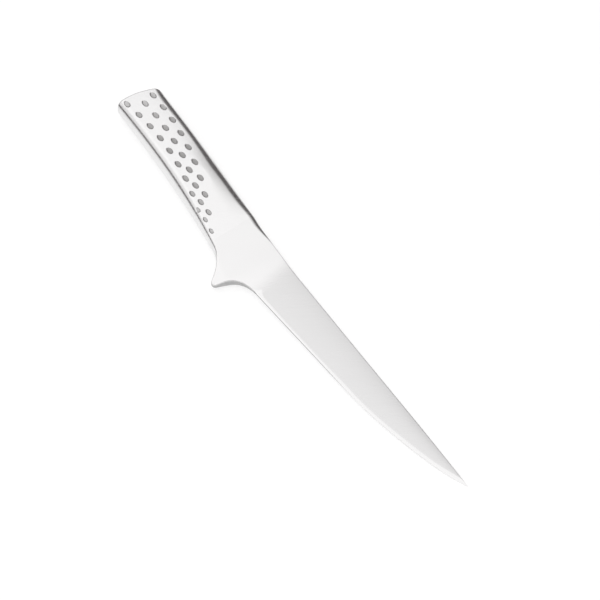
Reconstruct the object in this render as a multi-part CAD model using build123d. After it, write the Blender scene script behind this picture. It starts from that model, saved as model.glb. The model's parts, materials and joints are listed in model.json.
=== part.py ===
from build123d import *
from math import atan2, cos, degrees, radians, sin, tan
import os

# Fillet knife, all stainless steel, lying on its left side.
# While the pieces are made, X runs from the butt to the tip, +Y is toward the spine, and Z is the
# thickness, with the middle plane of the knife at Z = 0. The last section lays the knife down so
# that its thickest part and its tip both touch the ground, and centres it over the origin.

# Driving sizes, millimetres and degrees.
handle_length = 103.0            # rearmost point of the butt to the weld with the blade
bolster_length = 18.0            # weld to the end of the rounded bolster root
blade_length = 171.0             # end of the bolster root to the tip
grip_half_thickness = 7.0        # thickest place of the hollow handle, from the middle plane
weld_half_thickness = 4.35       # handle and bolster where they are welded
bolster_half_thickness = 3.05    # end of the bolster root, and back of the finger guard
cheek_half_thickness = 2.45      # front end of the bolster cheek, beside the heel
butt_spine_height = 12.4         # spine above the knife's axis at the butt
weld_spine_height = 5.75
bolster_spine_height = 4.25
heel_spine_height = 3.05
blade_spine_height = 2.0         # spine above the axis half way along the blade
butt_belly_depth = 13.8          # belly below the axis at the butt
weld_belly_depth = 22.8
bolster_belly_depth = 25.4       # belly line of the bolster root, inside the finger guard
corner_width = 5.2               # width of the rounded long corners of the handle
crisp_corner = 0.35              # the same corners where they have run out, at the bolster's end
butt_radius = 41.0               # curve of the butt, seen from the side
butt_back_depth = 8.6            # how far below the axis the butt reaches furthest back

wall = 1.2                       # sheet of the handle shells
butt_plate_thickness = 1.5
seam_depth = 0.7                 # weld bead between the two shells
seam_half_width = 0.5
ring_depth = 0.8                 # weld beads at both ends of the shells
ring_width = 1.2
tang_length = 16.0
tang_depth = 13.0
tang_clearance = 0.3
ballast_clearance = 0.2

dimple_length = 5.0
dimple_width = 3.1
dimple_depth = 0.45
row_radius = 156.0               # curve of the three rows of dimples
rest_flat_depth = 0.1            # flat on the swell of each side, where the knife lies

guard_depth = 36.5               # tip of the finger guard below the axis
guard_tip_radius = 2.3
guard_tip_half = 1.9             # half thickness of the finger guard at its tip
guard_tip_forward = 2.1          # centre of the guard's tip ahead of the bolster root's end
guard_corner_forward = 8.6       # corner between guard and edge, ahead of the bolster root's end
guard_corner_depth = 24.4
heel_forward = 20.0              # start of the sharpened edge, ahead of the bolster root's end
heel_depth = 20.8
sweep_forward = 93.0             # place where the straight edge starts to sweep up to the tip
sweep_depth = 16.9
flank_heel_half = 1.1            # half thickness at the spine, at the heel
flank_tip_half = 0.55            # half thickness at the spine, at the tip
flank_edge_half = 0.3            # half thickness behind the edge bevel, at the heel
plunge_radius = 48.0             # hollow between bolster cheek and ground flank
edge_bevel_angle = 13.0
edge_land_half = 0.06            # blunt land that is left along the cutting edge

overrun = 12.0                   # how far cutting shapes pass the piece that they cut

# Places along the knife.
weld_x = handle_length
root_x = weld_x + bolster_length
tip_x = root_x + blade_length
heel_x = root_x + heel_forward
sweep_x = root_x + sweep_forward

# Stations of the handle, from behind the butt to the weld, as shares of the handle's length.
station_shares = (-0.08, 0.26, 0.50, 0.70, 0.855, 1.0)
# How far each size has gone from its value at the butt to its value at the weld.
spine_shares = (-0.06, 0.20, 0.44, 0.65, 0.83, 1.0)
belly_shares = (-0.05, 0.12, 0.31, 0.54, 0.76, 1.0)
# Half thickness between the weld's (0) and the grip's (1), and corner width as a share of its size.
swell_shares = (0.42, 0.86, 1.0, 0.88, 0.52, 0.0)
corner_shares = (0.88, 0.96, 1.0, 0.96, 0.74, 0.46)


def between(start, end, share):
    return start + (end - start) * share


def station_sizes(index):
    """X, spine height, belly depth, half thickness and corner width of a handle station."""
    x = handle_length * station_shares[index]
    spine = between(butt_spine_height, weld_spine_height, spine_shares[index])
    belly = between(butt_belly_depth, weld_belly_depth, belly_shares[index])
    half = between(weld_half_thickness, grip_half_thickness, swell_shares[index])
    return x, spine, belly, half, corner_width * corner_shares[index]


quarter_turn = 90.0


def section(x, spine, belly, half, corner):
    """Flat oval section across the knife: two faces joined by quarter ellipses."""
    plane = Plane(origin=(x, 0, 0), x_dir=(0, 1, 0), z_dir=(1, 0, 0))
    with BuildSketch(plane) as sketch:
        with BuildLine():
            Line((corner - belly, half), (spine - corner, half))
            Line((corner - belly, -half), (spine - corner, -half))
            for centre_y, quarters in ((spine - corner, (-1, 0)), (corner - belly, (1, 2))):
                for quarter in quarters:
                    start = quarter * quarter_turn
                    EllipticalCenterArc((centre_y, 0), corner, half, start, arc_size=quarter_turn)
        make_face()
    return sketch.sketch.face()


def handle_form(inset):
    """The handle's outer form, or the same form drawn in on every side by the inset."""
    faces = []
    for index in range(len(station_shares)):
        x, spine, belly, half, corner = station_sizes(index)
        room = half - inset
        rounded = corner * room / half
        faces.append(section(x, spine - inset, belly - inset, room, rounded))
    return loft(faces)


def slab(x_start, x_end):
    """Everything between two planes across the knife."""
    reach = guard_depth + butt_spine_height + overrun
    middle = (x_start + x_end) / 2
    return Pos(middle, 0, 0) * Box(x_end - x_start, 2 * reach, 2 * reach)


def ahead_of_butt(inset, x_end):
    """Everything between the butt's curve, moved in by the inset, and a plane across the knife."""
    reach = butt_radius + handle_length
    with BuildSketch() as sketch:
        with Locations((butt_radius, -butt_back_depth)):
            Circle(butt_radius - inset)
        with Locations((butt_radius + reach / 2, 0)):
            Rectangle(reach, 2 * reach)
        with Locations((x_end - reach / 2, 0)):
            Rectangle(reach, 2 * reach, mode=Mode.INTERSECT)
    return extrude(sketch.sketch, reach, both=True)


def upper_half():
    reach = tip_x + overrun
    return Pos(0, 0, reach / 2) * Box(2 * reach, 2 * reach, reach)


# The handle's forms and the limits that its pieces share.
outer_form = handle_form(0)
hollow_form = handle_form(wall)
bead_form = handle_form(ring_depth)
butt_ring_start = butt_plate_thickness
butt_ring_end = butt_ring_start + ring_width
weld_ring_start = weld_x - ring_width


# Butt plate: a flat stainless plate, curved along its edge, that closes the end of the handle.
def make_butt_plate():
    return outer_form & (ahead_of_butt(0, weld_x) - ahead_of_butt(butt_plate_thickness, weld_x))


# Weld beads round both ends of the shells, ground flush.
def make_butt_weld():
    zone = ahead_of_butt(butt_ring_start, weld_x) - ahead_of_butt(butt_ring_end, weld_x)
    return (outer_form & zone) - bead_form


def make_bolster_weld():
    return (outer_form & slab(weld_ring_start, weld_x)) - bead_form


# Seam welds along the spine and the belly, where the two shells meet.
def seam_groove(side):
    """Diamond-shaped bar along the seam; side is 1 at the spine and -1 at the belly."""
    faces = []
    for index in range(len(station_shares)):
        x, spine, belly, _, _ = station_sizes(index)
        place = spine if side > 0 else -belly
        plane = Plane(origin=(x, place, 0), x_dir=(0, 1, 0), z_dir=(1, 0, 0))
        with BuildSketch(plane) as sketch:
            with BuildLine():
                Polyline(
                    (seam_depth, 0),
                    (0, seam_half_width),
                    (-seam_depth, 0),
                    (0, -seam_half_width),
                    close=True,
                )
            make_face()
        faces.append(sketch.sketch.face())
    return loft(faces)


spine_groove = seam_groove(1)
belly_groove = seam_groove(-1)


def make_seam_weld(groove):
    return groove & outer_form & ahead_of_butt(butt_ring_end, weld_ring_start)


# Dimples: three curved rows of shallow ovals on each side of the handle.
# Each row gives the number of dimples, the first and last place and the crest as shares of the
# handle's length, and the crest's height above the axis as a share of the spine's at the butt.
dimple_row_shares = (
    (10, 0.085, 0.948, 0.10, 0.555),
    (9, 0.102, 0.880, 0.156, -0.025),
    (9, 0.052, 0.816, 0.273, -0.55),
)
last_dimple_share = 0.78         # the last dimple of a row against the others


def face_height(x):
    """Half thickness of the handle's face at x, and its slope along the knife."""
    for index in range(1, len(station_shares)):
        x_a, _, _, half_a, _ = station_sizes(index - 1)
        x_b, _, _, half_b, _ = station_sizes(index)
        if x <= x_b:
            return between(half_a, half_b, (x - x_a) / (x_b - x_a)), (half_b - half_a) / (x_b - x_a)
    return weld_half_thickness, 0


def dimple_places():
    """Centre and size of each dimple, row by row."""
    places = []
    for count, first, last, crest, height in dimple_row_shares:
        for number in range(count):
            x = handle_length * between(first, last, number / (count - 1))
            fall = (x - handle_length * crest) ** 2 / (2 * row_radius)
            scale = last_dimple_share if number == count - 1 else 1
            places.append((x, butt_spine_height * height - fall, scale))
    return places


def dimple_cutters():
    cutters = []
    for x, y, scale in dimple_places():
        height, slope = face_height(x)
        plane = Plane(origin=(x, y, height), x_dir=(1, 0, slope), z_dir=(-slope, 0, 1))
        with BuildSketch(plane.offset(-dimple_depth)) as sketch:
            Ellipse(dimple_length * scale / 2, dimple_width * scale / 2)
        cutters.append(extrude(sketch.sketch, dimple_depth + wall))
    return cutters


# Handle shells: two pressed halves of stainless sheet that meet at the middle plane.
def make_right_shell():
    skin = (outer_form - hollow_form) & ahead_of_butt(butt_plate_thickness, weld_x)
    skin = skin & upper_half()
    skin = skin - [spine_groove, belly_groove, make_butt_weld(), make_bolster_weld()]
    return skin - dimple_cutters()


# Ballast: the sealed fill of fine sand that balances the hollow handle.
def make_ballast():
    fill = handle_form(wall + ballast_clearance)
    back = butt_plate_thickness + ballast_clearance
    return fill & ahead_of_butt(back, weld_x - tang_length - ballast_clearance)


# Blade: one forging of bolster, finger guard, ground flanks, cutting edge and stub tang.
sweep_share = 0.55               # a point of the upswept edge, along it
sweep_rise_share = 0.36          # how far that point has risen toward the axis
tip_slope_share = 2.2            # slope of the edge at the tip, against the mean slope of the sweep


def edge_curve(shift_y, height):
    """Cutting edge from the heel to the tip, moved by shift_y toward the spine, at a height."""
    heel = Vector(heel_x, shift_y - heel_depth, height)
    sweep = Vector(sweep_x, shift_y - sweep_depth, height)
    tip = Vector(tip_x, shift_y, height)
    straight = Edge.make_line(heel, sweep)
    start = sweep - heel
    middle = sweep + Vector((tip_x - sweep_x) * sweep_share, sweep_depth * sweep_rise_share, 0)
    rise = Vector(tip_x - sweep_x, sweep_depth * tip_slope_share, 0)
    upswept = Edge.make_spline([sweep, middle, tip], tangents=[start, rise])
    return straight, upswept


flank_run_forward = 5.0          # end of the hollow between cheek and flank, ahead of the heel
tip_spine_fall_share = 0.045     # slope of the spine at the tip


def spine_curve():
    root = Vector(root_x, bolster_spine_height, 0)
    heel = Vector(heel_x + flank_run_forward, heel_spine_height, 0)
    middle = Vector(root_x + blade_length / 2, blade_spine_height, 0)
    tip = Vector(tip_x, 0, 0)
    slope = (bolster_spine_height - weld_spine_height) / bolster_length
    fall = -tip_spine_fall_share
    return Edge.make_spline([root, heel, middle, tip], tangents=[(1, slope, 0), (1, fall, 0)])


waist_forward = 3.5              # start of the guard's curve, ahead of the weld
waist_depth = 21.4
waist_turn_forward = 9.8         # middle of the waist, where a finger lies behind the guard
waist_turn_depth = 25.5
waist_slope_share = 0.32         # slope of the guard's curve where it leaves the bolster
guard_back_angle = 30.0          # how far the guard's back face leans
guard_front_angle = 14.0


def guard_outline():
    """Finger guard from the waist round its tip to the heel."""
    waist = Vector(weld_x + waist_forward, -waist_depth, 0)
    turn = Vector(weld_x + waist_turn_forward, -waist_turn_depth, 0)
    centre = Vector(root_x + guard_tip_forward, guard_tip_radius - guard_depth, 0)
    back_turn = radians(guard_back_angle)
    front_turn = radians(guard_front_angle)
    back = centre + Vector(-cos(back_turn), -sin(back_turn), 0) * guard_tip_radius
    front = centre + Vector(cos(front_turn), -sin(front_turn), 0) * guard_tip_radius
    bottom = centre - Vector(0, guard_tip_radius, 0)
    corner = Vector(root_x + guard_corner_forward, -guard_corner_depth, 0)
    heel = Vector(heel_x, -heel_depth, 0)
    down = Vector(sin(back_turn), -cos(back_turn), 0)
    up = Vector(sin(front_turn), cos(front_turn), 0)
    along = Vector(sweep_x - heel_x, heel_depth - sweep_depth, 0)
    return [
        Edge.make_spline([waist, turn, back], tangents=[(1, -waist_slope_share, 0), down]),
        Edge.make_three_point_arc(back, bottom, front),
        Edge.make_spline([front, corner, heel], tangents=[up, along]),
    ]


def blade_outline():
    """Side view of the guard, blade and spine, closed inside the bolster root."""
    straight, upswept = edge_curve(0, 0)
    guard = guard_outline()
    spine = spine_curve()
    inner = Vector(weld_x + waist_forward, corner_width - waist_depth, 0)
    inside = [
        Edge.make_line(spine @ 0, inner),
        Edge.make_line(inner, guard[0] @ 0),
    ]
    return Face(Wire([*guard, straight, upswept, spine, *inside]))


def face_cutter():
    """Cuts the bolster's and the guard's side: two long flats that thin toward the blade."""
    slope = (weld_half_thickness - bolster_half_thickness) / bolster_length
    top = grip_half_thickness + overrun
    with BuildSketch(Plane.XZ) as sketch:
        with BuildLine():
            Polyline(
                (weld_x - overrun, weld_half_thickness + slope * overrun),
                (root_x, bolster_half_thickness),
                (heel_x, cheek_half_thickness),
                (heel_x, top),
                (weld_x - overrun, top),
                close=True,
            )
        make_face()
    return extrude(sketch.sketch, guard_depth + overrun, both=True)


def guard_cutter():
    """Thins the finger guard toward its tip, from a line through the middle of the waist."""
    waist_share = waist_turn_forward / bolster_length
    waist_half = between(weld_half_thickness, bolster_half_thickness, waist_share)
    slope = (waist_half - guard_tip_half) / (guard_depth - waist_turn_depth)
    top = grip_half_thickness + overrun
    rise = (top - waist_half) / slope
    plane = Plane(origin=(weld_x, 0, 0), x_dir=(0, 1, 0), z_dir=(1, 0, 0))
    with BuildSketch(plane) as sketch:
        with BuildLine():
            Polyline(
                (-guard_depth - overrun, guard_tip_half - slope * overrun),
                (rise - waist_turn_depth, top),
                (-guard_depth - overrun, top),
                close=True,
            )
        make_face()
    return extrude(sketch.sketch, heel_x - weld_x)


plunge_turn = 40.0               # how far round its circle the hollow is cut, past the cheek


def flank_cutter():
    """Cuts the ground flank: flat from spine to edge, with a hollow run up to the cheek."""
    start_x = heel_x + flank_run_forward
    far_x = tip_x + overrun
    taper = (flank_heel_half - flank_tip_half) / (tip_x - start_x)
    far_z = flank_heel_half - taper * (far_x - start_x)
    top = grip_half_thickness + overrun
    wedge = (flank_heel_half - flank_edge_half) / (heel_spine_height + heel_depth)
    turn = atan2(taper, 1)
    centre = Vector(start_x + plunge_radius * sin(turn), flank_heel_half + plunge_radius * cos(turn))
    back_turn = radians(plunge_turn)
    middle_turn = back_turn / 2
    middle = centre - Vector(plunge_radius * sin(middle_turn), plunge_radius * cos(middle_turn))
    back = centre - Vector(plunge_radius * sin(back_turn), plunge_radius * cos(back_turn))
    with BuildSketch(Plane.XZ.offset(-heel_spine_height)) as sketch:
        with BuildLine():
            Line((start_x, flank_heel_half), (far_x, far_z))
            Line((far_x, far_z), (far_x, top))
            Line((far_x, top), (back.X, top))
            Line((back.X, top), (back.X, back.Y))
            ThreePointArc((back.X, back.Y), (middle.X, middle.Y), (start_x, flank_heel_half))
        make_face()
    profile = sketch.sketch.face()
    reach = guard_depth + overrun
    toward_edge = extrude(profile, reach, dir=(0, -1, -wedge))
    toward_spine = extrude(profile, overrun, dir=(0, 1, wedge))
    return [toward_edge, toward_spine]


bevel_far_reach = 90.0           # how far the bevel's limit spreads to both sides
bevel_back_share = 0.66          # lean of the line by which the bevel runs out behind the heel


def bevel_limit():
    """Everything on the spine side of the edge bevel, which runs out past the heel."""
    top = grip_half_thickness
    lean = 1 / tan(radians(edge_bevel_angle))
    faces = []
    for height in (0, top):
        shift = (height - edge_land_half) * lean
        straight, upswept = edge_curve(shift, height)
        heel = straight @ 0
        tip = upswept @ 1
        far_y = bevel_far_reach
        back = heel - Vector(bevel_far_reach * bevel_back_share, bevel_far_reach, 0)
        beyond = tip + (upswept % 1) * overrun
        corners = [
            beyond,
            Vector(beyond.X, far_y, height),
            Vector(back.X, far_y, height),
            back,
            heel,
        ]
        lines = [Edge.make_line(a, b) for a, b in zip([tip, *corners], corners)]
        faces.append(Face(Wire([straight, upswept, *lines])))
    return loft(faces, ruled=True)


def make_blade():
    x, spine, belly, half, corner = station_sizes(len(station_shares) - 1)
    weld_section = section(x, spine, belly, half, corner)
    root_section = section(
        root_x, bolster_spine_height, bolster_belly_depth, bolster_half_thickness, crisp_corner
    )
    root = loft([weld_section, root_section], ruled=True) & upper_half()
    plate = extrude(blade_outline(), grip_half_thickness)
    plate = plate - [face_cutter(), guard_cutter(), *flank_cutter()]
    plate = plate & bevel_limit()
    tang_half = weld_half_thickness - wall - tang_clearance
    tang_y = (weld_spine_height - weld_belly_depth) / 2
    tang = Pos(weld_x - tang_length / 2, tang_y, tang_half / 2) * Box(
        tang_length, tang_depth, tang_half
    )
    half_blade = root + plate + tang
    return half_blade + mirror(half_blade, about=Plane.XY)


# Laying the knife down: the tip drops until the blade stands on one plane with the left swell,
# which has a small flat there. The right swell has the same flat.
settling_steps = 4


def lowest(piece, turn):
    """Lowest height of a piece once the tip has dropped by an angle about the butt."""
    return (Rot(0, turn, 0) * piece).bounding_box().min.Z


def find_nose_down(left_shell, blade):
    reach = tip_x - handle_length * station_shares[2]
    turn = degrees(atan2(grip_half_thickness, reach))
    for step in range(settling_steps):
        gap = lowest(left_shell, turn) + rest_flat_depth - lowest(blade, turn)
        turn = turn - degrees(gap / reach)
    return turn


def below_ground(turn, ground):
    """Everything below the ground, seen from the knife before it is laid down."""
    return Rot(0, -turn, 0) * Pos(0, 0, ground - tip_x) * Box(2 * tip_x, 2 * tip_x, 2 * tip_x)


blade = make_blade()
full_shell = make_right_shell()
nose_down = find_nose_down(mirror(full_shell, about=Plane.XY), blade)
left_shell = mirror(full_shell, about=Plane.XY) - below_ground(nose_down, lowest(blade, nose_down))
pieces = {
    "blade": blade,
    "handle_shell_right": mirror(left_shell, about=Plane.XY),
    "handle_shell_left": left_shell,
    "butt_plate": make_butt_plate(),
    "butt_weld": make_butt_weld(),
    "bolster_weld": make_bolster_weld(),
    "spine_seam_weld": make_seam_weld(spine_groove),
    "belly_seam_weld": make_seam_weld(belly_groove),
    "ballast": make_ballast(),
}
laid = {name: Rot(0, nose_down, 0) * piece for name, piece in pieces.items()}
box = Compound(children=[Compound(piece.solids()) for piece in laid.values()]).bounding_box()
home = Pos(-box.center().X, -box.center().Y, -box.min.Z)

os.makedirs("parts", exist_ok=True)
for name, piece in laid.items():
    export_step(home * piece, f"parts/{name}.step")
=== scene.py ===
import bmesh
import bpy
import json
import numpy as np
from math import cos, pi, radians, sin, tan
from mathutils import Matrix, Vector


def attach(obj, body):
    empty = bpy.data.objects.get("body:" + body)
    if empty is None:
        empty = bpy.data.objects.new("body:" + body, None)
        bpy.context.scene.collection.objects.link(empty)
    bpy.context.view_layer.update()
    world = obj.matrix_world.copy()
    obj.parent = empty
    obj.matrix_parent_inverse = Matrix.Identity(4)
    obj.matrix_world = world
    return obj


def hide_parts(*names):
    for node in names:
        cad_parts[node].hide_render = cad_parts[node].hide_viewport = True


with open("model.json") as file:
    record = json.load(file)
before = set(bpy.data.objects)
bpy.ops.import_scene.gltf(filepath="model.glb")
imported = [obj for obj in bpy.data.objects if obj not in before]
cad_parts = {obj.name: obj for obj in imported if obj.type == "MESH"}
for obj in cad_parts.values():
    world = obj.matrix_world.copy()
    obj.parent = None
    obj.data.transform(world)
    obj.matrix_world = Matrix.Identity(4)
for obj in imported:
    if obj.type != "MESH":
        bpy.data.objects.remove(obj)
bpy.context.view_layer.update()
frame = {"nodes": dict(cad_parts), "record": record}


# Handle shells: two halves pressed from 1.2 mm stainless sheet, which meet along the spine and the
# belly. Three curved rows of shallow oval dimples are pressed in for grip. The outside is brushed,
# and the dimples are left matt.

# Sizes are in millimetres in the knife's own frame: X runs from the butt to the tip, +Y is toward
# the spine, and the middle plane is Z = 0. The last step lays each piece down on the ground.
handle_length = 103.0
weld_x = handle_length
sheet_wall = 1.2
seam_half_width = 0.5
ring_width = 1.2
butt_plate_thickness = 1.5
butt_ring_end = butt_plate_thickness + ring_width
weld_ring_start = weld_x - ring_width
butt_radius = 41.0
butt_back_depth = 8.6
heel_x = 141.0
sheath_depth = 8.9
# Stations along the handle, as shares of its length, at which its sizes are given.
station_shares = (-0.08, 0.26, 0.50, 0.70, 0.855, 1.0)


def laid_down():
    """Matrix from the knife's own frame, in millimetres, to its place on the ground, in metres."""
    sheath = [m for m in frame["record"]["mounts"] if m["name"] == "blade_sheath"][0]
    forward = Vector(sheath["axis"])
    up = Vector((-forward.z, 0, forward.x))
    turn = Matrix((forward, (0, 1, 0), up)).transposed()
    mount = turn @ Vector((heel_x, -sheath_depth, 0)) / 1000
    home = Vector(sheath["pos_m"]) - mount
    return Matrix.Translation(home) @ turn.to_4x4() @ Matrix.Scale(0.001, 4)


laid = laid_down()


def fair_size(at_butt, at_weld, shares):
    """A size along the handle: how far it has gone from the butt's to the weld's, at each station."""
    terms = np.polyfit(station_shares, shares, len(shares) - 1)
    return lambda x: at_butt + (at_weld - at_butt) * np.polyval(terms, x / handle_length)


spine_height = fair_size(12.4, 5.75, (-0.06, 0.20, 0.44, 0.65, 0.83, 1.0))
belly_depth = fair_size(13.8, 22.8, (-0.05, 0.12, 0.31, 0.54, 0.76, 1.0))
half_thickness = fair_size(7.0, 4.35, (0.58, 0.14, 0.0, 0.12, 0.48, 1.0))
belly_corner = fair_size(5.2, 0, (0.12, 0.04, 0.0, 0.04, 0.26, 0.54))
crown_width = 12.0
shoulder_share = 0.75
highest_spine = 12.33
spine_blend = 0.06
rest_blend = 0.03
butt_corner = 3.0
belly_butt_corner = 1.8
curve_rounds = 8


def eased(x, places, sizes):
    """A size that changes smoothly along the knife, given at some places."""
    places, sizes = np.array(places, float), np.array(sizes, float)
    slopes = np.gradient(sizes, places)
    k = np.clip(np.searchsorted(places, x, side="right") - 1, 0, len(places) - 2)
    step = places[k + 1] - places[k]
    t = np.clip((x - places[k]) / step, 0, 1)
    ends = (2 * t**3 - 3 * t**2 + 1) * sizes[k] + (3 * t**2 - 2 * t**3) * sizes[k + 1]
    lean = (t**3 - 2 * t**2 + t) * slopes[k] + (t**3 - t**2) * slopes[k + 1]
    return ends + lean * step


def spine_line_height(x):
    """The spine, which is ground a little fuller than a fair line over the grip."""
    places = (0, 8, 16, 40, 53, 65, 76, 87, 96, weld_x)
    fuller = eased(x, places, (-0.30, -0.15, 0.14, 0.52, 0.68, 0.78, 0.80, 0.66, 0.50, 0.40))
    return lower_of(spine_height(x) + fuller, highest_spine, spine_blend)


def spine_shoulder(x):
    """Width and fall of the rounded long corner at the spine, which is widest behind the weld."""
    places = (0, 5, 12, 19, 31, 53, 66, 77, 88, weld_x)
    width = eased(x, places, (1.4, 2.8, 4.3, 4.7, 4.4, 4.8, 5.4, 5.0, 5.0, 3.4))
    fall = eased(x, (0, 5, 14, 30, 60, 85, weld_x), (1.0, 2.0, 3.1, 3.5, 3.7, 3.4, 2.3))
    return width, fall


def crown_fall(x):
    """How far the face falls toward the spine, before the rounded corner starts."""
    return eased(x, (0, 20, 42, 60, 76, 90, weld_x), (0.20, 0.25, 0.55, 1.25, 1.30, 0.75, 0.0))


def lower_of(a, b, blend):
    """The lower of two heights, with a soft change from one to the other."""
    near = np.maximum(blend - np.abs(a - b), 0)
    return np.minimum(a, b) - near**2 / (4 * blend)


def rest_height(x):
    """Half thickness at which the knife lies on the ground, along the left side."""
    return (laid[2][3] + laid[2][0] * x) / laid[2][2]


def handle_section(x, turn, inset, seam):
    """Y and Z on the right half. Turn goes from 0, the belly seam, over the face, 1 to 2, to 3."""
    spine = spine_line_height(x) - inset
    belly = belly_depth(x) - inset
    half = half_thickness(x) - inset
    corner = belly_corner(x) * half / (half + inset)
    width, fall = spine_shoulder(x)
    width = width * half / (half + inset)
    fall = fall * half / (half + inset)
    crown = crown_fall(x)
    start = np.arcsin(seam / half)
    round_belly = start + (pi / 2 - start) * np.clip(turn, 0, 1)
    across = np.clip(turn - 1, 0, 1)
    round_spine = pi / 2 * (1 - np.clip((turn - 2) / shoulder_share, 0, 1))
    down = np.clip((turn - 2 - shoulder_share) / (1 - shoulder_share), 0, 1)
    y_belly = corner * (1 - np.cos(round_belly)) - belly
    y_spine = spine - width * (1 - np.cos(round_spine))
    y_face = (corner - belly) * (1 - across) + (spine - width) * across
    y = np.where(turn <= 1, y_belly, np.where(turn <= 2, y_face, y_spine))
    drop = crown * np.clip(1 - (spine - y) / crown_width, 0, 1) ** 2
    z_top = np.where(turn <= 1, half * np.sin(round_belly), half)
    z_top = np.where(turn > 2, half - fall * (1 - np.sin(round_spine)), z_top) - drop
    z = lower_of(z_top, rest_height(x) - inset, rest_blend)
    return y, z * (1 - down) + seam * down


def butt_start(x, y, butt_inset):
    """Place of the butt's curve at a height; its two corners are rounded, seen from the side."""
    curve = butt_radius - np.sqrt((butt_radius - butt_inset) ** 2 - (y + butt_back_depth) ** 2)
    above = np.clip((y - spine_line_height(x)) / butt_corner + 1, 0, 1)
    below = np.clip((-belly_depth(x) - y) / belly_butt_corner + 1, 0, 1)
    spine_turn = butt_corner * (1 - np.sqrt(1 - above**2))
    return curve + spine_turn + belly_butt_corner * (1 - np.sqrt(1 - below**2))


def handle_skin(butt_inset, share, front, turn, inset, seam):
    """Net of points on the handle: columns go from the butt's curve to a front plane."""
    butt_inset, share, front, inset = (
        np.broadcast_to(np.asarray(size, float), np.shape(share))[:, None]
        for size in (butt_inset, share, front, inset)
    )
    turn = np.asarray(turn, float)[None, :]
    x = front * share + 0 * turn
    for _ in range(curve_rounds):
        y, z = handle_section(x, turn, inset, seam)
        x = butt_start(x, y, butt_inset) * (1 - share) + front * share
    return np.stack((x, y, z), axis=-1)


def net(along, across, first=0, along_closed=False, across_closed=False):
    """Faces of a net of points that are numbered across, then along."""
    faces = []
    for i in range(along if along_closed else along - 1):
        a = first + i * across
        b = first + (i + 1) % along * across
        for j in range(across if across_closed else across - 1):
            k = (j + 1) % across
            faces.append((a + j, b + j, b + k, a + k))
    return faces


def sheet_faces(outer_shape, inner_shape, step):
    """Faces of a closed sheet: fine outside, coarser inside by the step, and its four rims."""
    outer = np.arange(outer_shape[0] * outer_shape[1]).reshape(outer_shape[:2])
    inner = outer.size + np.arange(inner_shape[0] * inner_shape[1]).reshape(inner_shape[:2])
    faces = net(*outer.shape) + [face[::-1] for face in net(*inner.shape, outer.size)]
    for side in (0, -1):
        for rim, inner_rim in ((outer[side], inner[side]), (outer[:, side], inner[:, side])):
            for k in range(len(inner_rim) - 1):
                run = rim[k * step : (k + 1) * step + 1]
                faces.append([*run.tolist(), int(inner_rim[k + 1]), int(inner_rim[k])])
    return faces


def made_piece(name, points, faces, marks, merge=0.0):
    """A closed mesh in the knife's own frame, with its marks for the finish, faces outward."""
    mesh = bpy.data.meshes.new(name)
    mesh.from_pydata(points.reshape(-1, 3).tolist(), [], faces)
    for kind, values in marks.items():
        layer = mesh.attributes.new(kind, "FLOAT", "POINT")
        layer.data.foreach_set("value", np.asarray(values, np.float32).ravel())
    solid = bmesh.new()
    solid.from_mesh(mesh)
    if merge:
        bmesh.ops.remove_doubles(solid, verts=solid.verts, dist=merge)
    bmesh.ops.recalc_face_normals(solid, faces=solid.faces)
    solid.to_mesh(mesh)
    solid.free()
    mesh.polygons.foreach_set("use_smooth", np.ones(len(mesh.polygons), bool))
    piece = bpy.data.objects.new(name, mesh)
    bpy.context.scene.collection.objects.link(piece)
    return piece


def fit_piece(piece, node, material, sharp_from=50):
    """Lays a finished piece down, gives it its steel and puts it in the place of its CAD node."""
    piece.data.transform(laid)
    piece.data.set_sharp_from_angle(angle=radians(sharp_from))
    piece.data.materials.clear()
    piece.data.materials.append(material)
    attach(piece, "root")
    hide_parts(node)


class Wire:
    """One output in a node tree. Sums of wires and numbers add Math nodes."""

    def __init__(self, tree, socket):
        self.tree = tree
        self.socket = socket

    @classmethod
    def of(cls, tree, kind, settings, inputs, output=0):
        """A new node: its settings first, then values or wires for its sockets."""
        node = tree.nodes.new(kind)
        for name, value in settings.items():
            setattr(node, name, value)
        for name, value in inputs.items():
            if isinstance(value, cls):
                tree.links.new(value.socket, node.inputs[name])
            else:
                node.inputs[name].default_value = value
        return cls(tree, node.outputs[output] if node.outputs else None)

    def maths(self, operation, *others):
        """A Math node that takes this wire first."""
        inputs = dict(enumerate((self, *others)))
        return Wire.of(self.tree, "ShaderNodeMath", {"operation": operation}, inputs)

    def __add__(self, other):
        return self.maths("ADD", other)

    __radd__ = __add__

    def __mul__(self, other):
        return self.maths("MULTIPLY", other)

    __rmul__ = __mul__

    def __sub__(self, other):
        return self.maths("SUBTRACT", other)

    def __rsub__(self, other):
        return self * -1 + other

    def __truediv__(self, other):
        return self.maths("DIVIDE", other)

    def __pow__(self, other):
        return self.maths("POWER", other)


dimple_length = 4.4
dimple_width = 2.7
dimple_depth = 0.45
dimple_rim = 0.12
dimple_bowl = 0.12
last_dimple_size = 0.70
first_bite = 0.62
full_bite = 0.52
# Number of dimples, first and last place, place and height of the crest, and the row's radius.
dimple_rows = (
    (10, 8.6, 97.9, 12.7, 6.18, 148),
    (9, 10.6, 90.6, 18.0, -0.38, 158),
    (9, 5.0, 83.6, 29.0, -6.92, 151),
)


def sockets(tree, names, output):
    """Named number inputs, with the geometry input first, and the tree's output."""
    for name in names:
        kind = "NodeSocketGeometry" if name == "Shell" else "NodeSocketFloat"
        tree.interface.new_socket(name, in_out="INPUT", socket_type=kind)
    tree.interface.new_socket(output, in_out="OUTPUT", socket_type="NodeSocketGeometry")
    node = tree.nodes.new("NodeGroupInput")
    return {name: Wire(tree, node.outputs[name]) for name in names}


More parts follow.
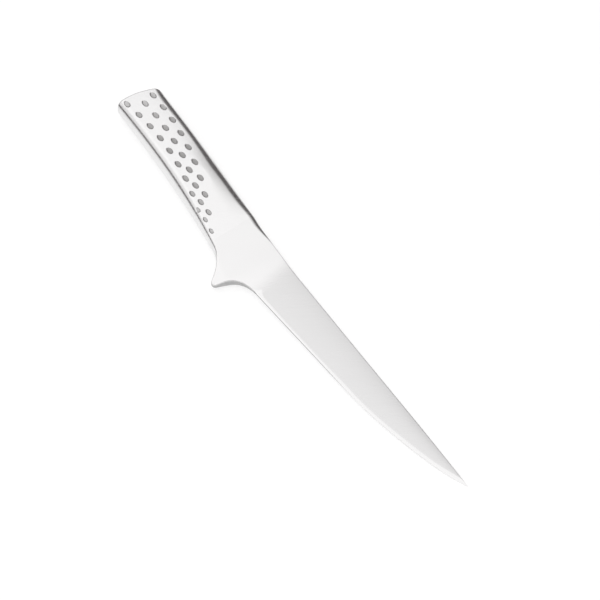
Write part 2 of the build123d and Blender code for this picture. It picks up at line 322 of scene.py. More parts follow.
def dimple_row_tree():
    """Points at the centres of one row of dimples, on a circle's arc; a point's radius is its size."""
    tree = bpy.data.node_groups.new("dimple_row", "GeometryNodeTree")
    names = ("Number", "First place", "Last place", "Crest place", "Crest height", "Row radius")
    size = sockets(tree, names + ("Last size", "First bite", "Full bite"), "Centres")
    index = Wire.of(tree, "GeometryNodeInputIndex", {}, {})
    last = size["Number"] - 1
    place = size["First place"] + (size["Last place"] - size["First place"]) * (index / last)
    fall = (place - size["Crest place"]) ** 2 / (size["Row radius"] * 2)
    height = size["Crest height"] - fall
    centre = Wire.of(tree, "ShaderNodeCombineXYZ", {}, {"X": place, "Y": height})
    scale = 1 - (1 - size["Last size"]) * (index / last) ** 6
    inputs = {"Count": size["Number"], "Position": centre, "Radius": scale}
    points = Wire.of(tree, "GeometryNodePoints", {}, inputs)
    short = (index / last - size["Full bite"]) / size["Full bite"]
    bite = 1 - (1 - size["First bite"]) * (short * short)
    settings = {"data_type": "FLOAT", "domain": "POINT"}
    inputs = {"Geometry": points, "Name": "bite", "Value": bite}
    centres = Wire.of(tree, "GeometryNodeStoreNamedAttribute", settings, inputs)
    Wire.of(tree, "NodeGroupOutput", {}, {"Centres": centres})
    return tree


def grip_dimple_tree(rows, steel):
    """Presses the three rows of dimples into a shell's outside and marks them for the finish."""
    tree = bpy.data.node_groups.new("grip_dimples", "GeometryNodeTree")
    names = ("Shell", "Dimple length", "Dimple width", "Dimple depth", "Dimple rim", "Dimple bowl")
    shared = ("Last size", "First bite", "Full bite")
    size = sockets(tree, names + shared, "Shell")
    row_tree = dimple_row_tree()
    join = tree.nodes.new("GeometryNodeJoinGeometry")
    for number, first, last, crest, height, radius in rows:
        inputs = {"Number": number, "First place": first, "Last place": last}
        inputs.update({"Crest place": crest, "Crest height": height})
        inputs.update({"Row radius": radius})
        inputs.update({name: size[name] for name in shared})
        row = Wire.of(tree, "GeometryNodeGroup", {"node_tree": row_tree}, inputs)
        tree.links.new(row.socket, join.inputs[0])
    centres = Wire(tree, join.outputs[0])
    here = Wire.of(tree, "GeometryNodeInputPosition", {}, {})
    split = Wire.of(tree, "ShaderNodeSeparateXYZ", {}, {"Vector": here})
    x, y = (Wire(tree, split.socket.node.outputs[axis]) for axis in "XY")
    flat = Wire.of(tree, "ShaderNodeCombineXYZ", {}, {"X": x, "Y": y})
    inputs = {"Geometry": centres, "Sample Position": flat}
    nearest = Wire.of(tree, "GeometryNodeSampleNearest", {"domain": "POINT"}, inputs)
    inputs = {"Geometry": centres, "Value": here, "Index": nearest}
    settings = {"data_type": "FLOAT_VECTOR", "domain": "POINT"}
    centre = Wire.of(tree, "GeometryNodeSampleIndex", settings, inputs)
    radius = Wire.of(tree, "GeometryNodeInputRadius", {}, {})
    settings = {"data_type": "FLOAT", "domain": "POINT"}
    inputs = {"Geometry": centres, "Value": radius, "Index": nearest}
    scale = Wire.of(tree, "GeometryNodeSampleIndex", settings, inputs)
    away = {"operation": "SUBTRACT"}
    offset = Wire.of(tree, "ShaderNodeVectorMath", away, {0: flat, 1: centre})
    split = Wire.of(tree, "ShaderNodeSeparateXYZ", {}, {"Vector": offset})
    dx, dy = (Wire(tree, split.socket.node.outputs[axis]) for axis in "XY")
    along = dx / size["Dimple length"]
    across = dy / size["Dimple width"]
    reach = (along * along + across * across).maths("SQRT") * 2 / scale
    outside = size["Dimple rim"] + 1
    inside = 1 - size["Dimple rim"]
    inputs = {"Value": reach, "From Min": outside, "From Max": inside}
    rounded = {"interpolation_type": "SMOOTHSTEP"}
    pressed = Wire.of(tree, "ShaderNodeMapRange", rounded, inputs)
    named = {"data_type": "FLOAT"}
    skin = Wire.of(tree, "GeometryNodeInputNamedAttribute", named, {"Name": "skin"})
    pressed = pressed * skin
    floor = 1 + (1 - (reach * reach).maths("MINIMUM", 1)) * size["Dimple bowl"]
    named_bite = Wire.of(tree, "GeometryNodeInputNamedAttribute", named, {"Name": "bite"})
    inputs = {"Geometry": centres, "Value": named_bite, "Index": nearest}
    bite = Wire.of(tree, "GeometryNodeSampleIndex", settings, inputs)
    inputs = {"Geometry": size["Shell"], "Name": "dimple", "Value": pressed * bite}
    marked = Wire.of(tree, "GeometryNodeStoreNamedAttribute", settings, inputs)
    outward = Wire.of(tree, "GeometryNodeInputNormal", {}, {})
    inward = pressed * floor * size["Dimple depth"] * -1
    scaled = {"operation": "SCALE"}
    push = Wire.of(tree, "ShaderNodeVectorMath", scaled, {0: outward, "Scale": inward})
    inputs = {"Geometry": marked, "Offset": push}
    dented = Wire.of(tree, "GeometryNodeSetPosition", {}, inputs)
    real = Wire.of(tree, "GeometryNodeRealizeInstances", {}, {"Geometry": dented})
    inputs = {"Geometry": real, "Material": steel}
    done = Wire.of(tree, "GeometryNodeSetMaterial", {}, inputs)
    Wire.of(tree, "NodeGroupOutput", {}, {"Shell": done})
    return tree


def shaped(piece, tree, sizes):
    """Runs a Geometry Nodes tree on a piece and keeps the result as a plain mesh."""
    modifier = piece.modifiers.new(tree.name, "NODES")
    modifier.node_group = tree
    for item in tree.interface.items_tree:
        if item.in_out == "INPUT" and item.name in sizes:
            modifier[item.identifier] = sizes[item.name]
    bpy.context.view_layer.update()
    evaluated = piece.evaluated_get(bpy.context.evaluated_depsgraph_get())
    plain = bpy.data.meshes.new_from_object(evaluated)
    plain.name = piece.name
    old = piece.data
    piece.modifiers.remove(modifier)
    piece.data = plain
    bpy.data.meshes.remove(old)
    return piece


brush_turn = 56.0
# Length and width of the brushed lines, in metres, and their detail.
fine_lines = (0.030, 0.00022, 1)
broad_lines = (0.080, 0.0018, 1)
line_height = 0.000002
tone_spread = 0.02


def brush_lines(tree, length, width, detail, turn=brush_turn):
    """Fine lines left by the belt: long one way, in metres, and narrow the other, from 0 to 1."""
    place = Wire.of(tree, "ShaderNodeTexCoord", {}, {}, "Object")
    size = {"Vector": place, "Rotation": (0, 0, radians(turn)), "Scale": (length, width, 0.005)}
    lines = Wire.of(tree, "ShaderNodeMapping", {"vector_type": "TEXTURE"}, size)
    inputs = {"Vector": lines, "Scale": 1.0, "Detail": detail, "Roughness": 0.6}
    return Wire.of(tree, "ShaderNodeTexNoise", {"noise_dimensions": "3D"}, inputs)


def mark(tree, name):
    """A mark that a piece carries on its points, from 0 to 1."""
    settings = {"attribute_type": "GEOMETRY", "attribute_name": name}
    return Wire.of(tree, "ShaderNodeAttribute", settings, {}, "Fac")


def tinted(share, dark, light):
    """A colour between two, by a share from 0 to 1."""
    settings = {"data_type": "RGBA", "clamp_factor": True}
    return Wire.of(share.tree, "ShaderNodeMix", settings, {0: share, 6: dark, 7: light}, 2)


def grey(value, warmth=0.0):
    """A grey, which warmth turns a little toward red."""
    return (value * (1 + warmth), value, value * (1 - warmth), 1)


def new_material(name):
    """An empty material and its node tree."""
    material = bpy.data.materials.new(name)
    material.use_nodes = True
    material.node_tree.nodes.clear()
    return material, material.node_tree


def brushed_steel(name, tone, roughness, finish=None, grain=0.06):
    """Brushed stainless steel. A finish function may change its colour and roughness."""
    material, tree = new_material(name)
    fine = brush_lines(tree, *fine_lines)
    broad = brush_lines(tree, *broad_lines)
    place = Wire.of(tree, "ShaderNodeTexCoord", {}, {}, "Object")
    wear = Wire.of(tree, "ShaderNodeTexNoise", {}, {"Vector": place, "Scale": 45.0})
    lines = fine * 0.6 + broad * 0.4
    colour = tinted(lines, grey(tone - tone_spread), grey(tone + tone_spread))
    rough = roughness + (fine - 0.5) * grain + (wear - 0.5) * grain * 0.5
    height = fine * 0.7 + broad * 0.3
    if finish:
        colour, rough = finish(tree, lines, colour, rough)
    inputs = {"Height": height, "Strength": 0.1, "Distance": line_height}
    bump = Wire.of(tree, "ShaderNodeBump", {}, inputs)
    inputs = {"Base Color": colour, "Roughness": rough, "Metallic": 1.0, "Normal": bump}
    surface = Wire.of(tree, "ShaderNodeBsdfPrincipled", {}, inputs)
    Wire.of(tree, "ShaderNodeOutputMaterial", {}, {"Surface": surface})
    return material


def dimple_finish(tree, lines, colour, rough):
    """The dimples are left matt and grey from the press and the blasting."""
    pressed = mark(tree, "dimple")
    place = Wire.of(tree, "ShaderNodeTexCoord", {}, {}, "Object")
    grain = Wire.of(tree, "ShaderNodeTexNoise", {}, {"Vector": place, "Scale": 5200.0, "Detail": 2.0})
    matt = tinted(grain, grey(0.35, 0.01), grey(0.42, 0.01))
    return tinted(pressed, colour, matt), rough + pressed * (0.44 - rough)


handle_steel = brushed_steel("brushed_handle_steel", 0.80, 0.26, dimple_finish)
dimples = grip_dimple_tree(dimple_rows, handle_steel)
dimple_sizes = {
    "Dimple length": dimple_length,
    "Dimple width": dimple_width,
    "Dimple depth": dimple_depth,
    "Dimple rim": dimple_rim,
    "Dimple bowl": dimple_bowl,
    "Last size": last_dimple_size,
    "First bite": first_bite,
    "Full bite": full_bite,
}
inner_step = 4
shell_columns = np.linspace(0, 1, 481)
shell_turns = np.concatenate(
    (np.linspace(0, 1, 24, False), np.linspace(1, 2, 104, False), np.linspace(2, 3, 33))
)


def make_shell(name, node, side):
    """A half shell: the fine outside with its dimples, the inside, and the rims between them."""
    ends = (butt_ring_end, shell_columns, weld_ring_start)
    outer = handle_skin(*ends, shell_turns, 0, seam_half_width)
    inner = handle_skin(*ends, shell_turns, sheet_wall, seam_half_width / 2)
    inner = inner[::inner_step, ::inner_step]
    points = np.concatenate((outer.reshape(-1, 3), inner.reshape(-1, 3)))
    points[:, 2] *= side
    skin = np.zeros(len(points))
    skin[: outer.shape[0] * outer.shape[1]] = 1
    faces = sheet_faces(outer.shape, inner.shape, inner_step)
    shell = made_piece(name, points, faces, {"skin": skin})
    shaped(shell, dimples, dimple_sizes)
    fit_piece(shell, node, handle_steel, sharp_from=65)


make_shell("right_handle_shell", "handle_shell_right", 1)
make_shell("left_handle_shell", "handle_shell_left", -1)


# Seam welds: two beads of weld along the spine and the belly, laid in the groove between the
# shells, then ground flush and brushed with them.
weld_steel = brushed_steel("brushed_weld_steel", 0.80, 0.26)
seam_depth = 0.7
seam_columns = np.linspace(0, 1, 241)
seam_heights = np.linspace(-1, 1, 9)


def make_seam(name, node, side):
    """One bead: a strip of the handle's skin with a ridge behind it, in the groove of the sheets."""
    share = seam_columns[:, None]
    height = seam_half_width * seam_heights[None, :]
    x = weld_ring_start * share + 0 * height
    for _ in range(curve_rounds):
        if side > 0:
            y = spine_line_height(x)
        else:
            rise = np.arcsin(height / half_thickness(x))
            y = belly_corner(x) * (1 - np.cos(rise)) - belly_depth(x)
        x = butt_start(x, y, butt_ring_end) * (1 - share) + weld_ring_start * share
    strip = np.stack((x, y, height + 0 * x), axis=-1)
    middle = len(seam_heights) // 2
    ridge = strip[:, middle : middle + 1] - np.array((0, side * seam_depth, 0))
    loops = np.concatenate((strip, ridge), axis=1)
    count, across = loops.shape[:2]
    faces = net(count, across, across_closed=True)
    faces.append(list(range(across)))
    faces.append(list(range((count - 1) * across, count * across)))
    piece = made_piece(name, loops, faces, {})
    fit_piece(piece, node, weld_steel)


make_seam("spine_seam_bead", "spine_seam_weld", 1)
make_seam("belly_seam_bead", "belly_seam_weld", -1)


# Butt plate and butt weld: a flat stainless plate, curved along its edge, closes the handle's end.
# A bead runs round it in a groove of the shells. Both are ground flush, and the rim is broken.
plate_face = 0.8
plate_rim = 0.6
ring_depth = 0.8


def full_turn(half_net):
    """The right half's net and its mirror as closed loops round the knife."""
    mirrored = half_net[:, -2:0:-1] * np.array((1, 1, -1))
    return np.concatenate((half_net, mirrored), axis=1)


def end_faces(half_count, first):
    """Faces that close an end, from each point of the right half to its mirror."""
    around = 2 * (half_count - 1)
    faces = []
    for k in range(half_count - 1):
        ring = (k, k + 1, (around - k - 1) % around, (around - k) % around)
        kept = [first + place for n, place in enumerate(ring) if place not in ring[:n]]
        faces.append(kept)
    return faces


def make_butt_plate():
    """A plate with a rounded rim, from its outside to the bead."""
    rim = np.linspace(0, pi / 2, 7)
    butt_inset = np.append(plate_face + plate_rim * (1 - np.cos(rim)), butt_plate_thickness)
    inset = np.append(plate_rim * (1 - np.sin(rim)), 0)
    loops = full_turn(handle_skin(butt_inset, 0 * inset, weld_x, shell_turns, inset, 0))
    count, around = loops.shape[:2]
    faces = net(count, around, across_closed=True)
    faces += end_faces(len(shell_turns), 0)
    faces += end_faces(len(shell_turns), (count - 1) * around)
    piece = made_piece("butt_end_plate", loops, faces, {})
    fit_piece(piece, "butt_plate", handle_steel)


def make_ring(name, node, butt_inset, share, front):
    """A bead round the handle: its outside lies in the skin, and its inside in the groove."""
    there = [np.append(size, size[::-1]) for size in (butt_inset, share, front)]
    inset = np.append(0 * butt_inset, 0 * butt_inset + ring_depth)
    loops = full_turn(handle_skin(*there, shell_turns, inset, 0))
    faces = net(*loops.shape[:2], along_closed=True, across_closed=True)
    piece = made_piece(name, loops, faces, {})
    fit_piece(piece, node, weld_steel)


make_butt_plate()
ring_columns = np.linspace(butt_plate_thickness, butt_ring_end, 6)
make_ring("butt_end_bead", "butt_weld", ring_columns, 0 * ring_columns, 0 * ring_columns + weld_x)


# Ballast: fine dry sand, sealed in the hollow handle to balance the blade. It is never seen, so the
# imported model's own solid stays, with a grain of sand for its finish.
sand, sand_tree = new_material("packed_fine_sand")
sand_place = Wire.of(sand_tree, "ShaderNodeTexCoord", {}, {}, "Object")
inputs = {"Vector": sand_place, "Scale": 3500.0}
grains = Wire.of(sand_tree, "ShaderNodeTexVoronoi", {}, inputs, "Distance")
inputs = {"Vector": sand_place, "Scale": 900.0, "Detail": 4.0}
drift = Wire.of(sand_tree, "ShaderNodeTexNoise", {}, inputs)
inputs = {"Height": grains, "Strength": 0.6, "Distance": 0.0002}
relief = Wire.of(sand_tree, "ShaderNodeBump", {}, inputs)
inputs = {
    "Base Color": tinted(drift, (0.58, 0.49, 0.36, 1), (0.80, 0.72, 0.58, 1)),
    "Roughness": 0.85 + (grains - 0.5) * 0.1,
    "Normal": relief,
}
sand_surface = Wire.of(sand_tree, "ShaderNodeBsdfPrincipled", {}, inputs)
Wire.of(sand_tree, "ShaderNodeOutputMaterial", {}, {"Surface": sand_surface})
ballast = frame["nodes"]["ballast"]
if not ballast.material_slots:
    ballast.data.materials.append(sand)
for place in ballast.material_slots:
    place.material = sand


# Blade: one forging of bolster, finger guard, ground flanks and cutting edge, with a stub tang that
# enters the handle. The bolster is brushed like the handle, and the flanks have a darker satin.
root_x = 121.0
sweep_x = 214.0
tip_x = 292.0
heel_depth = 20.35
sweep_depth = 16.55
edge_way = (sweep_x - heel_x, heel_depth - sweep_depth)
# Half thickness of the bolster, and of the guard at its waist and tip.
bolster_places = (weld_x, root_x, heel_x)
bolster_halves = (4.35, 3.05, 2.45)
waist_half = 3.64
guard_tip_half = 1.35
guard_blend = 0.25
# Outline of the guard: its tip, the points behind and ahead of it, and how far its sides lean.
weld_depth = 22.8
waist_depth = 25.5
guard_depth = 35.9
guard_tip_radius = 2.2
guard_tip_x = 122.75
waist_points = [(107.4, -23.44), (112.8, -25.75)]
guard_corner = (129.6, -24.4)
back_lean = radians(30)
front_lean = radians(14)
# Half thickness of the flanks under the spine, at their start and at the tip, and at their foot.
flank_start_x = 146.0
flank_top = 3.05
flank_half = 1.1
flank_tip_half = 0.55
flank_foot = 0.52
flank_bow = 0.35
bow_width = 14.0
plunge_radius = 48.0
plunge_blend = 2.0
# The cutting bevel, and half the width of the edge that it leaves.
edge_land_places = (heel_x, 165.0, 190.0, 212.0, 276.0, 290.0)
edge_lands = (0.31, 0.31, 0.25, 0.15, 0.15, 0.05)
bevel_slope = tan(radians(11.0))
bevel_blend = 0.05
run_out_slope = 90 / 59.4
# Corners: the handle's rounded ones run out on the bolster, and small broken ones go on.
weld_corner = 2.39
weld_half = 4.35
belly_corner_end = 113.0
spine_corner_start = weld_x + 2
spine_corner_end = 124.0
broken_edge = 0.32
broken_spine = 0.28
# Stub tang, inside the handle.
tang_start_x = 87.0
tang_end_x = weld_x + 2
tang_half = 2.85
tang_low = -15.025
tang_high = -2.025
# Satin starts on a slanted line ahead of the guard, and painted shade darkens the edge's land as far as
# a place.
satin_start_x = 137.5
satin_slant = 0.13
satin_fade = 5.0
painted_edge_shade_rows = 9
painted_edge_shade_fade = (220, 202)
# The filed wall under the bolster and the guard, coloured dark as painted shade: where it starts along
# the knife, and its top.
wall_fade = (108, 113)
wall_top = -12.0
# Points of the net along the guard and the edge, across the blade, and on each of its walls.
guard_count = 190
edge_count = 290
inner_count = 64
wall_count = 4


def flowing_line(points, first_way, last_way, count=120):
    """Smooth curve through the points that leaves and arrives in the given directions."""
    points = np.array(points, float)
    ways = np.array([first_way] + [(0, 0)] * (len(points) - 2) + [last_way], float)
    ways[[0, -1]] /= np.linalg.norm(ways[[0, -1]], axis=1)[:, None]
    steps = np.linalg.norm(np.diff(points, axis=0), axis=1)
    slopes = np.diff(points, axis=0) / steps[:, None]
    size = len(points)
    terms = np.eye(size)
    wanted = ways.copy()
    for k in range(1, size - 1):
        before, after = steps[k - 1], steps[k]
        terms[k, k - 1 : k + 2] = after, 2 * (before + after), before
        wanted[k] = 3 * (after * slopes[k - 1] + before * slopes[k])
    ways = np.linalg.solve(terms, wanted)
    line = []
    for k in range(size - 1):
        t = np.linspace(0, 1, count)[:, None]
        lift = (2 * t**3 - 3 * t**2 + 1) * points[k] + (3 * t**2 - 2 * t**3) * points[k + 1]
        lean = (t**3 - 2 * t**2 + t) * ways[k] + (t**3 - t**2) * ways[k + 1]
        line.append(lift + lean * steps[k])
    return np.concatenate(line)


def spaced(line, shares):
    """Points on a line at shares of its length."""
    steps = np.linalg.norm(np.diff(line, axis=0), axis=1)
    far = np.append(0, np.cumsum(steps))
    kept = np.append(True, steps > 1e-9)
    far, line = far[kept] / far[-1], line[kept]
    return np.stack([np.interp(shares, far, line[:, axis]) for axis in (0, 1)], axis=-1)


def guard_line():
    """Belly of the bolster, the finger guard round its tip, and its corner up to the heel."""
    centre = np.array((guard_tip_x, guard_tip_radius - guard_depth))
    turns = np.linspace(pi + back_lean, 2 * pi - front_lean, 60)
    tip = centre + guard_tip_radius * np.stack((np.cos(turns), np.sin(turns)), axis=-1)
    down = (sin(back_lean), -cos(back_lean))
    up = (sin(front_lean), cos(front_lean))
    heel = (heel_x, -heel_depth)
    return np.concatenate((
        np.array([(weld_x, -weld_depth)]),
        flowing_line([*waist_points, tip[0]], (1, -0.145), down),
        tip,
        flowing_line([tip[-1], guard_corner, heel], up, edge_way),
    ))


edge_middle = (sweep_x + 0.55 * (tip_x - sweep_x), -0.64 * sweep_depth)
edge_rise = (tip_x - sweep_x, 2.2 * sweep_depth)
swept = flowing_line([(sweep_x, -sweep_depth), edge_middle, (tip_x, 0)], edge_way, edge_rise)
edge_line = np.concatenate((np.array([(heel_x, -heel_depth)]), swept))
spine_way = (1, (spine_line_height(weld_x) - spine_line_height(weld_x - 0.5)) / 0.5)
spine_points = [
    (weld_x, float(spine_line_height(weld_x))),
    (110.5, 5.14),
    (121.0, 4.05),
    (flank_start_x, 3.14),
    (206.5, 2.02),
    (tip_x, 0),
]
spine_line = flowing_line(spine_points, spine_way, (1, -0.045))


def edge_y(x):
    """Where the bevel would start, below each place; behind the heel it runs out downward."""
    behind = -heel_depth - (heel_x - x) * run_out_slope
    return np.where(x < heel_x, behind, np.interp(x, edge_line[:, 0], edge_line[:, 1]))


def spine_y(x):
    """Height of the spine's outline ahead of the handle."""
    return np.interp(x, spine_line[:, 0], spine_line[:, 1])


def soft_step(start, end, value):
    """A share that goes smoothly from 0 at the start to 1 at the end."""
    share = np.clip((value - start) / (end - start), 0, 1)
    return share * share * (3 - 2 * share)


def blade_heights(x, y):
    """Half thickness by each way that the blade is ground: bolster's face, flank and edge bevel."""
    face = np.interp(x, bolster_places, bolster_halves)
    thinner = (waist_half - guard_tip_half) * (-waist_depth - y) / (guard_depth - waist_depth)
    face = lower_of(face, waist_half - thinner, guard_blend)
    taper = (flank_half - flank_tip_half) / (tip_x - flank_start_x)
    wedge = (flank_half - flank_foot) / (flank_top + heel_depth)
    ahead = flank_half - taper * (x - flank_start_x)
    back = np.clip(flank_start_x + plunge_radius * taper - x, 0, 0.9 * plunge_radius)
    hollow = flank_half + plunge_radius - np.sqrt(plunge_radius**2 - back**2)
    base = np.where(x < flank_start_x, hollow, ahead)
    bottom = np.interp(x, edge_line[:, 0], edge_line[:, 1])
    height = spine_y(x) - bottom
    share = np.clip((y - bottom) / np.maximum(height, 0.5), -0.3, 1.2)
    bow = flank_bow * (1 - (2 * share - 1) ** 2) * np.clip(height / bow_width, 0.1, 1)
    flank = base - wedge * (flank_top - y) + bow
    land = np.interp(x, edge_land_places, edge_lands)
    bevel = land + (y - edge_y(x)) * bevel_slope
    return face, flank, np.maximum(bevel, land)


def blade_half(x, y):
    """Half thickness of the finished blade."""
    face, flank, bevel = blade_heights(x, y)
    return lower_of(lower_of(face, flank, plunge_blend), bevel, bevel_blend)


def side_angle(line, way):
    """Sine of the angle between an outline and the columns that start from it."""
    run = np.gradient(line, axis=0)
    run /= np.linalg.norm(run, axis=1)[:, None]
    return np.clip(np.abs(run[:, 0] * way[:, 1] - run[:, 1] * way[:, 0]), 0.35, 1)


def held_corner(inward, down, half, width, rounded):
    """Size of a corner, held small where it isn't rounded and the blade is thin or narrow."""
    most = 0.45 * half
    inward = np.where(rounded, inward, np.minimum(inward, most))
    down = np.minimum(down, np.where(rounded, half, most))
    return np.minimum(inward, 0.2 * width), down


def blade_net():
    """Columns of points from the lower outline over the right side to the spine, down to Z = 0."""
    guard_columns = spaced(guard_line(), np.linspace(0, 1, guard_count, False))
    edge_shares = 1 - (1 - np.linspace(0, 1, edge_count)) ** 1.15
    lower = np.concatenate((guard_columns, spaced(edge_line, edge_shares)))
    bolster_x = np.linspace(weld_x, heel_x, guard_count, False)
    spine_x = np.append(bolster_x, lower[guard_count:, 0])
    upper = np.stack((spine_x, spine_y(spine_x)), axis=-1)
    width = np.linalg.norm(upper - lower, axis=1)
    way = (upper - lower) / np.maximum(width, 1e-6)[:, None]
    way[-1] = way[-2]
    x_low = lower[:, 0]
    x_up = upper[:, 0]
    worn = soft_step(weld_x, belly_corner_end, x_low)
    low_in = weld_corner * (1 - worn) + broken_edge * worn
    low_down = weld_half * (1 - worn) + broken_edge * worn
    low_half = blade_half(x_low, lower[:, 1] + 0.01)
    low_in, low_down = held_corner(low_in, low_down, low_half, width, x_low < belly_corner_end)
    worn = soft_step(spine_corner_start, spine_corner_end, x_up)
    shoulder, shoulder_fall = spine_shoulder(weld_x)
    up_in = shoulder * (1 - worn) + broken_spine * worn
    up_down = shoulder_fall * (1 - worn) + broken_spine * worn
    up_half = blade_half(x_up, upper[:, 1] - 0.01)
    up_in, up_down = held_corner(up_in, up_down, up_half, width, x_up < root_x)
    low_in = low_in / side_angle(lower, way)
    up_in = up_in / side_angle(upper, way)
    wall = np.linspace(0, 1, wall_count, False)[None, :]
    turn = np.linspace(0, pi / 2, 7)[None, :]
    inner = np.linspace(0, 1, inner_count)[None, 1:-1]
    # Rows crowd toward the edge, most of all ahead of the guard.
    ease = 1.25 + 0.6 * soft_step(118, heel_x, x_low)[:, None]
    clear = (width - low_in - up_in)[:, None]
    low_reach = low_in[:, None] * (1 - np.cos(turn))
    up_reach = width[:, None] - up_in[:, None] * (1 - np.cos(turn[:, ::-1]))
    mid_reach = low_in[:, None] + clear * inner**ease
    zero = 0 * wall
    far_side = zero + width[:, None]
    reach = np.concatenate((zero + 0 * far_side, low_reach, mid_reach, up_reach, far_side), axis=1)
    place = lower[:, None, :] + way[:, None, :] * reach[:, :, None]
    x, y = place[..., 0], place[..., 1]
    drops = (
        zero + low_down[:, None],
        low_down[:, None] * (1 - np.sin(turn)),
        0 * mid_reach,
        up_down[:, None] * (1 - np.sin(turn[:, ::-1])),
        zero + up_down[:, None],
    )
    keep = np.ones_like(reach)
    keep[:, :wall_count] = wall
    keep[:, -wall_count:] = wall[:, ::-1]
    half = blade_half(x, y) - np.concatenate(drops, axis=1)
    return np.stack((x, y, half * keep), axis=-1)


def blade_finish_and_painted_shade(tree, lines, colour, rough):
    """Satin flanks, polished bevel, and filed lines; painted shade darkens the guard's wall and the
    edge.
    """
    flank = mark(tree, "flank")
    bevel = mark(tree, "bevel")
    wall = mark(tree, "wall")
    satin = tinted(lines, grey(0.665), grey(0.705))
    polished = tinted(lines, grey(0.755), grey(0.785))
    filed = brush_lines(tree, 0.0006, 0.003, 2, 14)
    # Painted shade: the guard's wall is coloured dark grey, standing in for the shade and dark
    # reflections on it.
    filed_wall_painted_shade = tinted(filed, grey(0.33), grey(0.55))
    colour = tinted(bevel, tinted(flank, colour, satin), polished)
    rough = rough + flank * 0.03 - bevel * 0.10
    colour = tinted(wall, colour, filed_wall_painted_shade)
    # Painted shade: the edge's land near the heel is coloured almost black, standing in for the dark
    # line along the edge.
    return tinted(mark(tree, "edge_shade_mark"), colour, grey(0.16)), rough + wall * 0.06


def make_blade():
    """The net and its mirror, closed at the weld, with the stub tang behind it and the marks."""
    right = blade_net()
    columns, rows = right.shape[:2]
    loops = full_turn(right)
    around = loops.shape[1]
    faces = net(columns, around, across_closed=True)
    faces += end_faces(rows, 0)
    x, y = loops[..., 0], loops[..., 1]
    face, flank, bevel = blade_heights(x, y)
    slanted = x - satin_start_x + satin_slant * (y + 1)
    on_flank = soft_step(-satin_fade, satin_fade, slanted)
    on_bevel = soft_step(-0.01, 0.08, np.minimum(flank, face) - bevel)
    # The guard's wall, which takes filed lines, more roughness and painted shade.
    on_wall = soft_step(0.30, 0.45, blade_half(x, y) - np.abs(loops[..., 2]))
    on_wall = np.where(x < heel_x, on_wall, 0) * soft_step(*wall_fade, x) * (y < wall_top)
    # Painted shade mark: the rows at the edge, near the heel, that take the almost black colour.
    painted_edge_shade = 0 * x
    painted_edge_shade[:, :painted_edge_shade_rows] = soft_step(*painted_edge_shade_fade, x[:, :1])
    painted_edge_shade[:, 1 - painted_edge_shade_rows :] = soft_step(*painted_edge_shade_fade, x[:, :1])
    painted_edge_shade = painted_edge_shade * soft_step(heel_x - 3, heel_x, x)
    start = columns * around
    tang = [
        (place, height, side)
        for place in (tang_start_x, tang_end_x)
        for height in (tang_low, tang_high)
        for side in (-tang_half, tang_half)
    ]
    corners = ((0, 1, 3, 2), (4, 6, 7, 5), (0, 4, 5, 1), (2, 3, 7, 6), (0, 2, 6, 4), (1, 5, 7, 3))
    faces += [tuple(start + k for k in corner) for corner in corners]
    points = np.concatenate((loops.reshape(-1, 3), np.array(tang)))
    marks = {"flank": on_flank, "bevel": on_bevel, "wall": on_wall, "edge_shade_mark": painted_edge_shade}
    marks = {kind: np.append(values, np.zeros(len(tang))) for kind, values in marks.items()}
    piece = made_piece("forged_blade", points, faces, marks, merge=0.002)
    blade_steel = brushed_steel("ground_blade_steel", 0.78, 0.25, blade_finish_and_painted_shade, grain=0.03)
    fit_piece(piece, "blade", blade_steel, sharp_from=40)


make_blade()


# Bolster weld: a bead round the joint of handle and bolster, ground flush and brushed over, so that
# the handle runs into the blade without a step.
bolster_columns = np.linspace(weld_ring_start, weld_x, 6)
make_ring("bolster_bead", "bolster_weld", 0 * bolster_columns, 0 * bolster_columns + 1, bolster_columns)


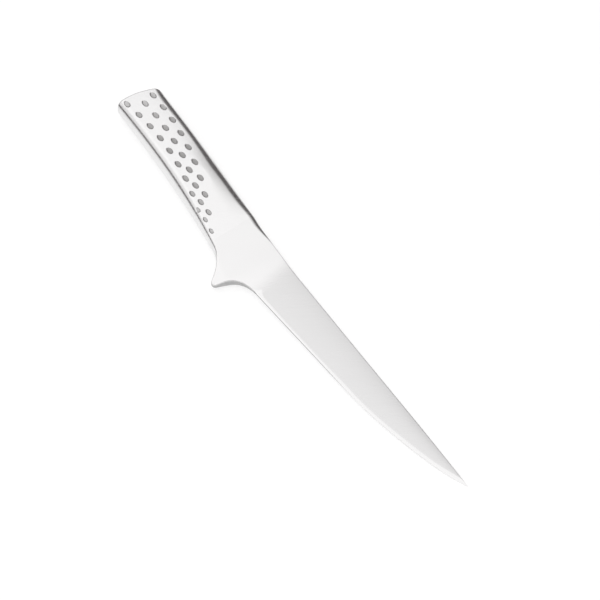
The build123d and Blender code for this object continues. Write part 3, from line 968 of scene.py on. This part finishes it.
# Table and light: a plain white table top under a large soft lamp with a brighter middle. A long
# soft panel stands in front of the knife and a small lamp behind it, in a dim grey room.
def table_top():
    """A matt top that keeps the knife's soft shadow and looks white from the camera."""
    size = 6.0
    mesh = bpy.data.meshes.new("table_top")
    corners = [(-size, -size, 0), (size, -size, 0), (size, size, 0), (-size, size, 0)]
    mesh.from_pydata(corners, [], [(0, 1, 2, 3)])
    piece = bpy.data.objects.new("table_top", mesh)
    bpy.context.scene.collection.objects.link(piece)
    material, tree = new_material("white_table")
    rays = tree.nodes.new("ShaderNodeLightPath")
    seen = Wire(tree, rays.outputs["Is Camera Ray"])
    for name in ("Is Glossy Ray", "Is Transmission Ray"):
        seen = seen.maths("MAXIMUM", Wire(tree, rays.outputs[name]))
    matt = Wire.of(tree, "ShaderNodeBsdfDiffuse", {}, {"Color": grey(0.5)})
    glow = Wire.of(tree, "ShaderNodeEmission", {}, {"Color": grey(1.0), "Strength": seen * 0.65})
    both = Wire.of(tree, "ShaderNodeAddShader", {}, {0: matt, 1: glow})
    Wire.of(tree, "ShaderNodeOutputMaterial", {}, {"Surface": both})
    mesh.materials.append(material)


def soft_lamp(name, place, target, width, depth, radiance):
    """A rectangular soft lamp that faces a target; its power gives an even brightness."""
    light = bpy.data.lights.new(name, "AREA")
    light.shape = "RECTANGLE"
    light.size = width
    light.size_y = depth
    light.energy = pi * width * depth * radiance
    lamp = bpy.data.objects.new(name, light)
    lamp.location = place
    lamp.rotation_euler = (Vector(place) - Vector(target)).to_track_quat("Z", "Y").to_euler()
    bpy.context.scene.collection.objects.link(lamp)
    return lamp


# The last lamp lights the table alone: the steel's reflections leave it out.
table_top()
soft_lamp("overhead_softbox", (-0.10, 0.15, 1.2), (-0.10, 0.15, 0), 3.0, 1.80, 0.55)
soft_lamp("softbox_middle", (-0.10, -0.065, 1.19), (-0.10, -0.065, 0), 3.0, 1.37, 0.54)
soft_lamp("front_panel", (-0.10, -1.074, 0.92), (-0.10, -0.082, 0), 2.8, 0.873, 0.88)
key = soft_lamp("table_lamp", (0.1, 1.0, 1.8), (0, 0, 0), 0.9, 0.9, 0.6)
key.visible_glossy = False
room = bpy.data.worlds.new("warm_grey_room")
room.use_nodes = True
room.node_tree.nodes["Background"].inputs["Color"].default_value = (0.124, 0.113, 0.114, 1)
bpy.context.scene.world = room
bpy.context.scene.view_settings.view_transform = "Standard"


# Camera: level, 60 degrees above the table and a metre away, as the photograph was taken.
look_at = Vector((0.00940521, 0.00969970, 0))
azimuth = radians(53.13151686)
elevation = radians(60.0)
away = Vector((sin(azimuth) * cos(elevation), -cos(azimuth) * cos(elevation), sin(elevation)))
camera = bpy.data.objects.new("camera", bpy.data.cameras.new("camera"))
camera.data.lens = 113.90790324
camera.data.sensor_width = 36.0
camera.location = look_at + away
camera.rotation_euler = away.to_track_quat("Z", "Y").to_euler()
bpy.context.scene.collection.objects.link(camera)
bpy.context.scene.camera = camera
